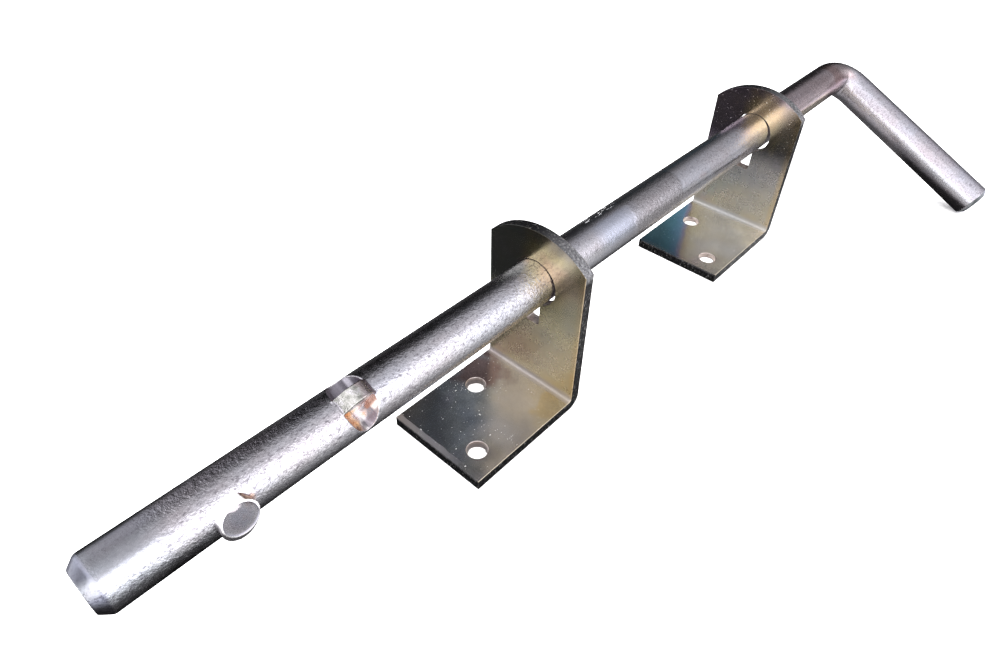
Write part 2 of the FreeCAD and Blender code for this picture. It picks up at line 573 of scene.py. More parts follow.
    def bump(self, height, strength, dist, normal=None):
        n = self.node("ShaderNodeBump")
        n.inputs["Strength"].default_value = strength
        n.inputs["Distance"].default_value = dist
        self.link(height, n.inputs["Height"])
        if normal is not None:
            self.link(normal, n.inputs["Normal"])
        return n.outputs[0]


def bar_material():
    m = Net("bar_zinc")
    v = m.coords(loc=(-X0 * MM, 0, -AXIS_Z * MM))
    bx, py, pz = m.xyz(v)
    # how grainy the plating is along the bar
    n1 = m.noise(v, 55.0, 3.0, 0.6)
    wob = m.map(n1, 0.3, 0.7, -0.0022, 0.0022, smooth=False)
    bw = m.math("ADD", bx, wob)
    past = m.map(bw, 0.186, 0.200)
    gap = m.band(bw, 0.2465, 0.2845, 0.0009)
    gap = m.mul(gap, m.map(py, 0.0040, 0.0020))
    far = m.map(bx, 0.376, 0.388)
    bend = m.map(bw, 0.455, 0.466)
    start = m.map(bw, 0.030, 0.014)
    coarse = m.math("SUBTRACT", m.math("SUBTRACT", 1.0, m.mul(start, m.map(pz, 0.0045, 0.0080), 0.75)), m.mul(past, m.inv(gap), m.math("SUBTRACT", 0.55, m.mul(bend, 0.20))))
    # two sizes of grain
    g1 = m.noise(v, 620.0, 3.0, 0.65)
    g2 = m.noise(v, 1500.0, 3.0, 0.6)
    flecks = m.noise(m.coords(scale=(0.7, 1, 1), loc=(3.1, 0, 0)), 1000.0, 4.0, 0.75, 0.3)
    height = m.math("ADD", m.mul(g1, 0.55), m.mul(g2, 0.30))
    polished = m.mul(m.map(m.math("ABSOLUTE", m.math("SUBTRACT", bx, 0.0896)), 0.0095, 0.0085), m.map(m.math("SQRT", m.math("ADD", m.mul(py, py), m.mul(pz, pz))), 0.00985, 0.00950))
    height = m.mul(height, coarse, m.math("SUBTRACT", 1.0, m.mul(polished, 0.85)))
    # colour: zinc, a little mauve in clouds, darker flecks
    cloud = m.noise(m.coords(scale=(0.5, 1, 1)), 75.0, 3.0, 0.6)
    col = m.ramp(cloud, [(0.30, (0.70, 0.66, 0.69)), (0.48, (0.73, 0.72, 0.76)), (0.64, (0.72, 0.73, 0.79)), (0.78, (0.76, 0.70, 0.72))])
    dark = m.mul(m.map(flecks, 0.52, 0.62), coarse)
    col = m.mix(m.mul(dark, 0.72), col, (0.24, 0.22, 0.25))
    pale = m.mul(m.map(flecks, 0.46, 0.36), coarse)
    col = m.mix(m.mul(pale, 0.55), col, (0.95, 0.93, 0.97))
    col = m.mix(m.mul(start, m.map(pz, -0.002, 0.003)), col, m.mix(1.0, col, (0.95, 1.0, 1.02), "MULTIPLY"))
    light = m.mul(m.band(bw, 0.222, 0.2465, 0.006), m.map(py, 0.0005, -0.0030), m.map(pz, 0.0000, 0.0045, 0.2, 1.0))
    col = m.mix(m.mul(light, 0.8), col, (0.78, 0.83, 0.98))
    col = m.mix(m.mul(gap, 0.42), col, (0.40, 0.37, 0.37))
    shank = m.map(bx, 0.478, 0.470)
    col = m.mix(m.mul(far, shank), col, m.mix(1.0, col, (1.0, 0.86, 0.84), "MULTIPLY"))
    # painted shade on the bend: darkest below, darker along the top with a lighter strip between, and a brownish
    # painted shade over the upper half of the elbow
    tilt = m.math("SUBTRACT", m.mul(pz, 0.94), m.mul(py, 0.34))
    inner = m.mul(m.band(bx, 0.452, 0.480, 0.006), m.map(tilt, 0.0060, 0.0035))
    col = m.mix(inner, col, m.mix(1.0, col, (0.52, 0.45, 0.46), "MULTIPLY"))
    outer = m.mul(m.band(bx, 0.452, 0.480, 0.006), m.map(tilt, 0.0088, 0.0074), m.inv(inner))
    col = m.mix(outer, col, m.mix(1.0, col, (0.62, 0.56, 0.58), "MULTIPLY"))
    gold = m.mul(m.band(bx, 0.385, 0.452, 0.008), m.map(pz, 0.0030, 0.0010))
    col = m.mix(m.mul(gold, 0.85), col, (0.98, 0.87, 0.70))
    elbow = m.mul(m.band(m.math("ADD", bx, m.mul(wob, 0.4)), 0.464, 0.4845, 0.002), m.map(pz, 0.000, 0.004))
    col = m.mix(elbow, col, m.mix(1.0, col, (0.80, 0.70, 0.67), "MULTIPLY"))
    # handle: a painted highlight along the side facing the nose, painted shade along its outer side
    grip = m.map(bx, 0.4785, 0.4825)
    hs = m.dot(v, (0.0, math.cos(DIP), math.sin(DIP)))               # along the handle
    hw = m.math("ADD", m.dot(v, (0.0, math.sin(DIP), -math.cos(DIP))), m.mul(wob, 0.3))   # across it, upwards
    hx = m.math("SUBTRACT", bx, 0.490)
    grip = m.mul(grip, m.map(hs, 0.008, 0.012))
    side_in = m.mul(grip, m.map(hx, -0.0045, -0.0065))
    pale_highlight = m.mul(side_in, m.map(hw, -0.0010, 0.0010), m.map(hw, 0.0048, 0.0036))
    col = m.mix(m.mul(pale_highlight, 0.9), col, m.mix(m.map(hs, 0.030, 0.075), (0.80, 0.78, 0.82), (0.78, 0.82, 0.84)))
    outside = m.mul(grip, m.map(hx, -0.0080, -0.0020))
    col = m.mix(outside, col, m.mix(1.0, col, (0.76, 0.75, 0.78), "MULTIPLY"))
    spots = m.noise(m.coords(scale=(1, 0.7, 1), loc=(0.2, 0.6, 0.9)), 330.0, 3.0, 0.7, 0.4)
    spots = m.mul(grip, m.map(spots, 0.58, 0.65), m.map(hx, -0.0075, -0.0050), m.map(hs, 0.055, 0.070))
    col = m.mix(m.mul(spots, 0.55), col, (0.26, 0.24, 0.28))
    # end of the handle: painted shade, near black towards the nose, grading to bluish grey away from it
    tip = m.mul(grip, m.map(hs, 0.1164, 0.1168))
    col = m.mix(tip, col, m.ramp(m.map(hx, -0.008, 0.004, smooth=False), [(0.0, (0.07, 0.08, 0.08)), (0.45, (0.20, 0.21, 0.23)), (1.0, (0.42, 0.42, 0.56))]))
    # a few dark rubbed marks between the upper bracket and the bend
    rub = m.noise(m.coords(scale=(0.45, 1, 1), loc=(0.7, 0.2, 0.1)), 260.0, 4.0, 0.7, 0.6)
    rub = m.mul(m.map(rub, 0.58, 0.66), m.band(bx, 0.402, 0.452, 0.004), m.map(pz, 0.0060, 0.0080))
    col = m.mix(m.mul(rub, 0.6), col, (0.16, 0.14, 0.15))
    # punched marks of the ear: heat tinted, with painted highlights and painted shade
    ex = m.math("SUBTRACT", bx, 0.0896)
    near = m.map(m.math("ABSOLUTE", ex), 0.0095, 0.0085)
    rad = m.math("SQRT", m.math("ADD", m.mul(py, py), m.mul(pz, pz)))
    deep = m.mul(near, m.map(rad, 0.00985, 0.00955))
    side = m.dot(v, (0.0, -math.sin(EAR_AZ), math.cos(EAR_AZ)))      # across the blade, + towards the lower mark
    low = m.mul(deep, m.map(side, 0.0020, 0.0026))
    upp = m.mul(deep, m.map(side, -0.0020, -0.0026))
    ew = m.math("ADD", ex, m.map(m.noise(v, 230.0, 1.0, 0.5), 0.3, 0.7, -0.0013, 0.0013, smooth=False))
    clean = m.ramp(cloud, [(0.35, (0.80, 0.76, 0.78)), (0.65, (0.88, 0.84, 0.84))])
    # lower mark: orange heat tint at the nose end, a painted white highlight in the middle, painted dark shade and then
    # a pale rim towards the far end
    tint_and_painted_light = m.ramp(m.map(ew, -0.0065, 0.0065, smooth=False), [(0.0, (0.55, 0.22, 0.12)), (0.16, (0.95, 0.48, 0.13)), (0.34, (0.95, 0.70, 0.46)), (0.46, (0.97, 0.94, 0.92)), (0.60, (0.92, 0.88, 0.90)), (0.72, (0.22, 0.22, 0.27)), (0.85, (0.15, 0.16, 0.21)), (0.92, (0.88, 0.87, 0.88))])
    root = m.mul(m.map(side, 0.0050, 0.0040), m.map(ew, 0.0026, 0.0036))
    tint_and_painted_light = m.mix(m.mul(root, 0.85), tint_and_painted_light, (0.30, 0.13, 0.08))
    foot = m.mul(m.map(side, 0.0058, 0.0070), m.map(ew, -0.0018, 0.0002), m.map(rad, 0.00985, 0.00970))
    tint_and_painted_light = m.mix(m.mul(foot, 0.8), tint_and_painted_light, (0.12, 0.09, 0.12))
    dull = m.mul(low, m.map(ew, 0.0010, 0.0024))
    crack = m.mul(m.map(side, 0.0040, 0.0031), m.band(ew, -0.0004, 0.0008, 0.0003))
    tint_and_painted_light = m.mix(m.mul(crack, 0.6), tint_and_painted_light, (0.46, 0.26, 0.20))
    col = m.mix(m.mul(near, m.map(rad, 0.00992, 0.00975)), col, clean)
    col = m.mix(m.mul(low, 0.92), col, tint_and_painted_light)
    # upper mark: painted shade, near black, with a painted grey glint (gleam) and a darker painted shadow at its far
    # end
    col = m.mix(m.mul(upp, 0.95), col, (0.068, 0.062, 0.080))
    gleam = m.mul(upp, m.band(ex, 0.0032, 0.0045, 0.0004))
    col = m.mix(m.mul(gleam, 0.9), col, (0.48, 0.46, 0.52))
    far_end_shadow = m.mul(upp, m.map(ex, 0.0050, 0.0058))
    col = m.mix(m.mul(far_end_shadow, 0.8), col, (0.055, 0.042, 0.060))
    burn = m.mul(near, m.map(rad, 0.00998, 0.00980), m.map(side, -0.0016, -0.0024), m.map(ew, -0.0014, -0.0028))
    col = m.mix(m.mul(burn, 0.85), col, m.mix(m.map(side, -0.0034, -0.0044), (0.16, 0.035, 0.02), (0.022, 0.015, 0.020)))
    top = m.mul(near, m.map(rad, 0.0101, 0.0104))
    col = m.mix(m.mul(top, 0.8), col, m.ramp(m.noise(v, 420.0, 3.0, 0.65, 0.4), [(0.36, (0.36, 0.37, 0.31)), (0.50, (0.64, 0.64, 0.57)), (0.62, (0.88, 0.86, 0.85))]))
    col = m.mix(m.mul(top, m.map(ew, 0.0006, 0.0032), 0.6), col, (0.74, 0.58, 0.60))
    col = m.mix(m.mul(top, m.map(ew, 0.0045, 0.0062)), col, (0.40, 0.28, 0.30))
    # chamfer of the nose: painted highlight in the middle, duller towards the top, painted shade below
    nosed = m.mul(m.map(bx, 0.0048, 0.0034), m.map(rad, 0.0071, 0.0075))
    rise = m.math("ADD", m.mul(py, 0.64), m.mul(pz, 0.77))
    painted_light = m.ramp(m.map(rise, -0.009, 0.009, smooth=False), [(0.0, (0.15, 0.15, 0.16)), (0.22, (0.20, 0.20, 0.22)), (0.38, (0.60, 0.60, 0.68)), (0.50, (1.0, 1.0, 1.0)), (0.64, (1.0, 1.0, 1.0)), (0.76, (0.50, 0.50, 0.55)), (1.0, (0.50, 0.50, 0.55))])
    col = m.mix(nosed, col, m.mix(1.0, col, painted_light, "MULTIPLY"))
    # brown stain round the root of the pin
    pd = m.node("ShaderNodeVectorMath", operation="DISTANCE")
    m.link(v, pd.inputs[0])
    pd.inputs[1].default_value = (0.0468, R * math.cos(math.radians(STAIN_AZ)) * MM, R * math.sin(math.radians(STAIN_AZ)) * MM)
    stain = m.map(m.math("ADD", pd.outputs["Value"], m.mul(wob, 0.4)), 0.0026, 0.0012)
    col = m.mix(m.mul(stain, 0.85), col, m.ramp(flecks, [(0.40, (0.85, 0.62, 0.46)), (0.52, (0.34, 0.20, 0.16)), (0.62, (0.10, 0.07, 0.09))]))
    # pale scratches along the far side, just past the lower bracket
    scr = m.noise(m.coords(scale=(0.22, 1, 1), loc=(0.4, 0.3, 0.2)), 900.0, 3.0, 0.7)
    scr = m.mul(m.map(scr, 0.57, 0.63), m.band(bx, 0.2235, 0.243, 0.003), m.map(py, 0.0018, 0.0032), m.map(pz, 0.0060, 0.0075))
    col = m.mix(scr, col, (0.92, 0.92, 0.92))
    m.put(m.bsdf.inputs["Base Color"], col)
    m.put(m.bsdf.inputs["Metallic"], m.math("SUBTRACT", 1.0, m.math("MAXIMUM", m.math("MAXIMUM", m.math("MAXIMUM", m.mul(scr, 0.75), m.mul(upp, 0.6)), m.mul(dull, 0.7)), m.math("MAXIMUM", m.mul(pale_highlight, 0.35), m.mul(tip, 0.6)))))
    patch = m.noise(v, 300.0, 3.0, 0.6)
    rough = m.map(patch, 0.3, 0.7, 0.12, 0.23)
    rough = m.math("ADD", rough, m.math("ADD", m.mul(dark, 0.15), m.mul(nosed, 0.20)))
    m.put(m.bsdf.inputs["Roughness"], rough)
    m.put(m.bsdf.inputs["Normal"], m.bump(height, 1.0, 0.00036))
    return m.mat


def pin_material():
    m = Net("pin_zinc")
    v = m.coords(loc=(-PIN_X * MM, 0, -AXIS_Z * MM))
    cloud = m.noise(v, 180.0, 3.0, 0.5)
    fine = m.noise(v, 1500.0, 3.0, 0.6)
    px, py, pz = m.xyz(v)
    out = m.dot(v, (0.0, math.cos(PIN_AZ), math.sin(PIN_AZ)))
    rise = m.dot(v, (0.0, math.sin(PIN_AZ), -math.cos(PIN_AZ)))       # across the face, upwards
    col = m.ramp(cloud, [(0.3, (0.45, 0.42, 0.47)), (0.5, (0.42, 0.42, 0.48)), (0.7, (0.48, 0.43, 0.46))])
    face = m.map(out, (PIN_REACH - 0.36) * MM, (PIN_REACH - 0.26) * MM)
    col = m.mix(m.inv(face), col, (0.90, 0.88, 0.90))
    rad = m.math("SQRT", m.math("ADD", m.mul(px, px), m.mul(rise, rise)))
    lip = m.mul(m.map(rad, (PIN_R - 0.75) * MM, (PIN_R - 0.60) * MM), m.map(out, (PIN_REACH - 0.5) * MM, (PIN_REACH - 0.35) * MM))
    col = m.mix(lip, col, (0.95, 0.93, 0.95))
    # whitish smear on the upper left of the face
    smear = m.math("ADD", m.math("ADD", m.mul(px, 0.10), m.mul(rise, 0.98)), m.map(cloud, 0.3, 0.7, -0.0007, 0.0007, smooth=False))
    smear = m.mul(m.map(smear, 0.0036, 0.0044), m.map(px, 0.0022, 0.0004), face)
    col = m.mix(m.mul(smear, 0.85), col, (0.95, 0.84, 0.88))
    shank = m.map(out, (PIN_REACH - 0.7) * MM, (PIN_REACH - 1.1) * MM)
    above = m.map(rise, 0.000, 0.0025)
    white = m.mul(shank, above)
    # brown stain on the upper side, towards the handle
    burnt = m.mul(m.map(out, (PIN_REACH - 0.22) * MM, (PIN_REACH - 0.42) * MM), m.map(rise, 0.0010, 0.0028), m.map(m.math("ADD", px, m.map(cloud, 0.3, 0.7, -0.0006, 0.0006, smooth=False)), 0.0028, 0.0036))
    # painted shade along the lower side of the rim
    lower = m.math("ADD", m.mul(rise, 0.88), m.mul(px, 0.47))
    under = m.mul(m.map(rad, (PIN_R - 0.34) * MM, (PIN_R - 0.20) * MM), m.map(lower, 0.0000, -0.0020))
    col = m.mix(m.mul(under, 0.85), col, (0.10, 0.09, 0.10))
    rim = m.mul(m.map(rad, (PIN_R - 0.85) * MM, (PIN_R - 0.70) * MM), m.map(rise, -0.0015, 0.0010), m.inv(shank), m.inv(burnt))
    col = m.mix(m.mul(burnt, 0.95), col, m.ramp(m.noise(v, 420.0, 2.0, 0.6), [(0.36, (0.62, 0.40, 0.26)), (0.47, (0.30, 0.17, 0.13)), (0.60, (0.12, 0.07, 0.08))]))
    m.put(m.bsdf.inputs["Base Color"], col)
    m.put(m.bsdf.inputs["Metallic"], m.math("SUBTRACT", m.math("SUBTRACT", 1.0, m.mul(face, 0.08)), m.math("MAXIMUM", m.mul(smear, 0.6), m.math("MAXIMUM", m.mul(rim, 0.6), m.mul(white, m.inv(burnt), 0.55)))))
    m.put(m.bsdf.inputs["Roughness"], m.map(fine, 0.3, 0.7, 0.24, 0.34))
    m.put(m.bsdf.inputs["Normal"], m.bump(fine, 0.15, 0.00005))
    return m.mat


def bracket_material(name, front, upper):
    """Yellow passivated plate. Coordinates are from the middle of the bend, on the upright's front."""
    m = Net(name)
    v = m.coords(loc=(-front * MM, 0, 0))
    px, py, pz = m.xyz(v)
    big = m.noise(v, 42.0, 3.0, 0.55)
    mid = m.noise(v, 150.0, 4.0, 0.6)
    fine = m.noise(v, 1400.0, 3.0, 0.65)
    up = m.map(pz, 0.0055, 0.0075)
    flat = m.inv(up)
    soft = m.noise(v, 120.0, 1.0, 0.4)
    wob = m.map(soft, 0.3, 0.7, -0.004, 0.004, smooth=False)
    # upright: golden above, khaki below
    zz = m.math("ADD", pz, wob)
    if upper:
        cu = m.ramp(m.map(zz, 0.005, 0.084, smooth=False), [(0.0, (0.52, 0.49, 0.42)), (0.25, (0.46, 0.43, 0.37)), (0.45, (0.38, 0.36, 0.35)), (0.58, (0.30, 0.29, 0.30)), (0.72, (0.70, 0.60, 0.38)), (0.84, (0.78, 0.60, 0.36)), (0.93, (0.66, 0.52, 0.36)), (1.0, (0.46, 0.38, 0.42))])
        shadow = (0.31, 0.26, 0.36)
    else:
        cu = m.ramp(m.map(zz, 0.005, 0.084, smooth=False), [(0.0, (0.60, 0.54, 0.38)), (0.12, (0.56, 0.50, 0.36)), (0.40, (0.54, 0.47, 0.31)), (0.56, (0.50, 0.44, 0.27)), (0.68, (0.58, 0.50, 0.29)), (0.80, (0.66, 0.50, 0.32)), (0.90, (0.56, 0.50, 0.30)), (1.0, (0.32, 0.31, 0.27))])
        shadow = (0.28, 0.31, 0.32)
    # painted shade: the far side of the upright is darker and cooler; the near side greyer
    far_side_shade = m.mul(m.map(py, 0.002, 0.010), m.map(pz, 0.040, 0.052))
    cu = m.mix(m.mul(far_side_shade, 0.85), cu, shadow)
    grey = m.mul(m.map(py, -0.011, -0.019), m.map(pz, 0.036, 0.050))
    cu = m.mix(m.mul(grey, 0.5), cu, (0.42, 0.38, 0.30) if not upper else (0.32, 0.30, 0.31))
    # base plate
    dist = m.math("ADD", m.mul(px, 0.55), m.mul(py, -0.83))      # across the plate, from the far left to the near right
    dist = m.math("ADD", dist, m.mul(wob, 0.35))
    t = m.math("ADD", m.mul(m.math("ADD", px, 0.060), 12.5), m.mul(py, -10.0))
    t = m.math("ADD", t, m.mul(wob, 12.0))
    if upper:
        q = m.math("SUBTRACT", m.math("ADD", py, m.mul(wob, 0.2)), m.math("ADD", m.mul(px, 0.46), 0.0266))
        cb = m.ramp(m.map(q, -0.012, 0.014, smooth=False), [(0.0, (0.57, 0.55, 0.49)), (0.25, (0.55, 0.53, 0.43)), (0.38, (0.48, 0.43, 0.34)), (0.46, (0.26, 0.25, 0.34)), (0.56, (0.10, 0.19, 0.29)), (0.75, (0.07, 0.17, 0.23)), (1.0, (0.06, 0.135, 0.175))])
        teal = m.map(q, -0.0025, 0.0025)
        warm = m.map(dist, 0.004, 0.020)
        cb = m.mix(m.mul(warm, m.inv(teal), 0.6), cb, (0.60, 0.50, 0.34))
        share = m.mix(teal, m.ramp(t, [(0.0, 0.052), (0.10, 0.062), (0.30, 0.095), (0.50, 0.130), (0.75, 0.200), (0.95, 0.265)]), m.map(px, -0.060, -0.020, 0.05, 0.34, smooth=False))
    else:
        cb = m.ramp(m.map(dist, -0.054, 0.018, smooth=False), [(0.0, (0.33, 0.29, 0.25)), (0.2, (0.24, 0.27, 0.32)), (0.45, (0.27, 0.30, 0.34)), (0.62, (0.35, 0.32, 0.29)), (0.8, (0.40, 0.36, 0.31)), (1.0, (0.42, 0.35, 0.22))])
        pd = m.node("ShaderNodeVectorMath", operation="DISTANCE")
        m.link(v, pd.inputs[0])
        pd.inputs[1].default_value = (-0.0095, -0.0185, 0.005)
        gold = m.map(m.math("ADD", pd.outputs["Value"], wob), 0.0080, 0.0045)
        cb = m.mix(m.mul(gold, 0.55), cb, (0.42, 0.32, 0.16))
        pc = m.node("ShaderNodeVectorMath", operation="DISTANCE")
        m.link(v, pc.inputs[0])
        pc.inputs[1].default_value = (-0.013, 0.019, 0.005)
        mauve = m.map(m.math("ADD", pc.outputs["Value"], wob), 0.017, 0.008)
        cb = m.mix(m.mul(mauve, 0.85), cb, (0.17, 0.11, 0.11))
        share = m.ramp(t, [(0.0, 0.036), (0.10, 0.060), (0.25, 0.110), (0.45, 0.190), (0.65, 0.215), (1.0, 0.21)])
        share = m.mul(share, m.map(t, -0.2, 0.0, 0.75, 1.0, smooth=False))
    col = m.mix(up, cb, cu)
    hue = m.ramp(big, [(0.30, (0.94, 0.96, 1.02)), (0.45, (1.0, 1.0, 1.0)), (0.56, (1.02, 1.0, 0.93)), (0.68, (1.01, 0.95, 0.95))])
    col = m.mix(1.0, col, hue, "MULTIPLY")
    # pinkish band along the free edge and the near side, where the plate was sheared: the rolled edge is real, its
    # paler look is painted sheen
    e1 = m.map(m.math("ADD", px, m.mul(wob, 0.12)), -0.0572, -0.0576)
    e2 = m.map(m.math("ADD", py, m.mul(wob, 0.12)), -0.0236, -0.0241)
    edge = m.mul(flat, m.math("MAXIMUM", m.mul(e1, m.map(py, -0.020, 0.0, 0.10, 0.36) if not upper else 0.10), m.mul(e2, 0.10)))
    col = m.mix(edge, col, (0.34, 0.28, 0.26))
    # tint close to the near edge of the upright
    e3 = m.mul(up, m.map(py, -0.0215, -0.0240))
    col = m.mix(m.mul(e3, 0.4), col, (0.60, 0.44, 0.22))
    # dust
    amount = (0.42, 0.20) if not upper else (0.09, 0.10)
    s1 = m.specks(v, 860.0, 0.19, amount[0])
    s2 = m.specks(m.coords(scale=(1, 0.45, 1), loc=(0.3, 0.1, 0)), 300.0, 0.12, amount[1])
    s3 = m.specks(m.coords(scale=(0.5, 1, 1), loc=(0.5, 0.7, 0)), 520.0, 0.15, amount[1])
    sp = m.math("MAXIMUM", s1, m.math("MAXIMUM", s2, s3))
    if upper:
        where = m.math("ADD", m.mul(flat, 0.5), m.mul(up, m.map(m.math("ADD", pz, m.mul(big, 0.02)), 0.052, 0.072), 0.6))
    else:
        cl = m.map(m.noise(v, 60.0, 2.0, 0.5), 0.38, 0.55)
        where = m.math("ADD", m.mul(flat, cl), m.mul(up, 0.025))
    sp = m.mul(sp, where, 0.62)
    haze = m.mul(flat, share)
    low = m.mul(up, m.map(pz, 0.056, 0.040))
    side = m.mul(up, m.map(py, -0.012, -0.020), m.map(pz, 0.040, 0.052), m.map(pz, 0.079, 0.074))
    haze = m.math("ADD", haze, m.math("ADD", m.mul(low, 0.112 if not upper else 0.24), m.mul(side, 0.06 if not upper else 0.015)))
    haze = m.mul(haze, m.map(soft, 0.3, 0.7, 0.85, 1.12, smooth=False))
    # inside of the bend: paler, duller and partly diffuse, a painted soft highlight
    inner = m.mul(m.map(px, -0.0036, -0.0012), m.map(pz, 0.0088, 0.0066))
    haze = m.math("MAXIMUM", haze, m.mul(inner, 0.20))
    haze = m.math("MAXIMUM", haze, m.mul(up, m.map(px, 0.0040, 0.0048), 0.50))
    col = m.mix(m.mul(inner, 0.6), col, (0.52, 0.48, 0.46) if not upper else (0.50, 0.51, 0.53))
    # thin pale line along the near edge of the base plate: painted highlight of the rounded edge
    edge_highlight = m.mul(flat, m.map(py, -0.02465, -0.02480), m.map(pz, 0.0044, 0.0047))
    haze = m.math("MAXIMUM", haze, m.mul(edge_highlight, 0.45))
    col = m.mix(m.mul(edge_highlight, 0.8), col, (0.62, 0.55, 0.42))
    trim = m.mul(up, m.map(py, -0.02455, -0.02475), m.map(px, 0.0008, 0.0004))
    if upper:
        trim = m.mul(trim, m.map(pz, 0.056, 0.034, 0.0, 0.7))
    haze = m.math("MAXIMUM", haze, m.mul(trim, 0.38))
    col = m.mix(m.mul(trim, 0.7), col, (0.70, 0.54, 0.34))
    col = m.mix(sp, col, (0.74, 0.72, 0.70))
    m.put(m.bsdf.inputs["Base Color"], col)
    met = m.math("SUBTRACT", 1.0, m.math("MAXIMUM", haze, m.math("MAXIMUM", sp, m.mul(edge, 0.5))), clamp=True)
    m.put(m.bsdf.inputs["Metallic"], met)
    rough = m.map(mid, 0.3, 0.7, 0.155, 0.20)
    rough = m.math("ADD", rough, m.math("ADD", m.mul(flat, 0.05), m.math("ADD", m.mul(inner, 0.25), m.mul(low, 0.10))))
    rough = m.math("ADD", rough, m.math("ADD", m.mul(sp, 0.4), m.mul(edge, 0.25)))
    m.put(m.bsdf.inputs["Roughness"], rough)
    m.put(m.bsdf.inputs["Normal"], m.bump(m.noise(v, 350.0, 2.0, 0.5), 0.05, 0.00003))
    return m.mat


def edge_material():
    """Sheared and drilled faces: rough, dark, with small bright tears."""
    m = Net("bracket_sheared")
    v = m.coords()
    tear = m.noise(m.coords(scale=(1, 1, 0.55)), 1050.0, 4.0, 0.74)
    fine = m.noise(v, 1900.0, 3.0, 0.65)
    col = m.ramp(tear, [(0.34, (0.020, 0.020, 0.022)), (0.50, (0.06, 0.06, 0.062)), (0.60, (0.13, 0.13, 0.13)), (0.67, (0.85, 0.84, 0.80))])
    ex, ey, ez = m.xyz(v)
    # painted highlight: silver along the upper near part of the edges and a thin line along the top of the base plate's
    # sides
    painted_light = m.mul(m.map(ez, 0.070, 0.073), m.map(m.math("ADD", ey, m.map(tear, 0.3, 0.7, -0.004, 0.004)), 0.004, -0.016))
    silver = m.ramp(tear, [(0.34, (0.16, 0.16, 0.17)), (0.50, (0.34, 0.34, 0.35)), (0.62, (0.66, 0.66, 0.67)), (0.70, (0.95, 0.95, 0.94))])
    lip = m.mul(m.map(ez, 0.0038, 0.0042), m.map(ez, 0.0060, 0.0052))
    lip = m.mul(lip, m.map(m.math("ABSOLUTE", ey), 0.0240, 0.0235))
    painted_light = m.math("MAXIMUM", painted_light, m.mul(lip, 0.8))
    col = m.mix(painted_light, col, silver)
    m.put(m.bsdf.inputs["Base Color"], col)
    m.bsdf.inputs["Metallic"].default_value = 1.0
    m.put(m.bsdf.inputs["Roughness"], m.map(fine, 0.3, 0.7, 0.36, 0.58))
    m.put(m.bsdf.inputs["Normal"], m.bump(fine, 0.5, 0.00012, m.bump(tear, 0.8, 0.00040)))
    return m.mat


def wall_material(name, drilled=None, facing=(0.0, 0.0, 0.0), bright=0.0019, shade=0.0026):
    """Walls of the punched keyhole and the drilled holes: rubbed, paler than the sheared edges."""
    m = Net(name)
    v = m.coords()
    fine = m.noise(v, 1700.0, 3.0, 0.65)
    mid = m.noise(m.coords(scale=(0.5, 1, 1), loc=(0.2, 0, 0)), 420.0, 3.0, 0.6)
    col = m.ramp(mid, [(0.32, (0.26, 0.21, 0.19)), (0.50, (0.48, 0.41, 0.38)), (0.68, (0.66, 0.60, 0.56))])
    if drilled:
        # painted light: the mouth on the mounting side glows bright, with a painted shade band above it
        hx, hy, hz = m.xyz(v)
        gn = m.node("ShaderNodeNewGeometry")
        glowing_mouth = m.map(m.math("ADD", hz, m.map(mid, 0.3, 0.7, -0.0002, 0.0002)), bright + 0.0003, bright - 0.0003)
        ring = m.mul(m.map(hz, shade + 0.0004, shade - 0.0004), m.inv(glowing_mouth))
        glowing_mouth = m.mul(glowing_mouth, m.map(m.dot(gn.outputs["Normal"], facing), 0.45, 0.75))
        col = m.mix(1.0, col, drilled, "MULTIPLY")
        col = m.mix(m.mul(ring, 0.7), col, (0.16, 0.14, 0.14))
        col = m.mix(glowing_mouth, col, (0.95, 0.95, 0.94))
        m.put(m.bsdf.inputs["Metallic"], m.map(glowing_mouth, 0.0, 1.0, 0.78, 0.0))
        m.put(m.bsdf.inputs["Emission Color"], (1.0, 1.0, 1.0, 1.0))
        m.put(m.bsdf.inputs["Emission Strength"], m.mul(glowing_mouth, 0.30))
    else:
        m.bsdf.inputs["Metallic"].default_value = 0.78
    m.put(m.bsdf.inputs["Base Color"], col)
    m.put(m.bsdf.inputs["Roughness"], m.map(fine, 0.3, 0.7, 0.30, 0.48))
    m.put(m.bsdf.inputs["Normal"], m.bump(mid, 0.4, 0.00015, m.bump(fine, 0.3, 0.00005)))
    return m.mat


def dress(ob, *mats):
    keep = [f.material_index for f in ob.data.polygons]
    ob.data.materials.clear()
    for mat in mats:
        ob.data.materials.append(mat)
    ob.data.polygons.foreach_set("material_index", [min(k, len(mats) - 1) for k in keep])


M_BAR = bar_material()
M_PIN = pin_material()
M_LOW = bracket_material("bracket_lower_zinc", X0 + 186.0, False)
M_UPP = bracket_material("bracket_upper_zinc", X0 + 374.0, True)
M_EDGE = edge_material()
M_WALL = wall_material("bracket_holes")
# the lower bracket's drilled walls are a darkened copy, as painted shade
M_DARK = wall_material("bracket_drilled_lower", (0.55, 0.52, 0.50), (-0.68, -0.73, 0.0), 0.0010, 0.0036)
M_PALE = wall_material("bracket_drilled_upper", (1.0, 0.97, 0.95), (-0.92, -0.39, 0.0))
dress(bar, M_BAR)
dress(nose, M_BAR)
dress(pin, M_PIN)
for b, mat, hole in zip(brackets, (M_LOW, M_UPP), (M_DARK, M_PALE)):
    dress(b, mat, M_EDGE, M_WALL, hole)


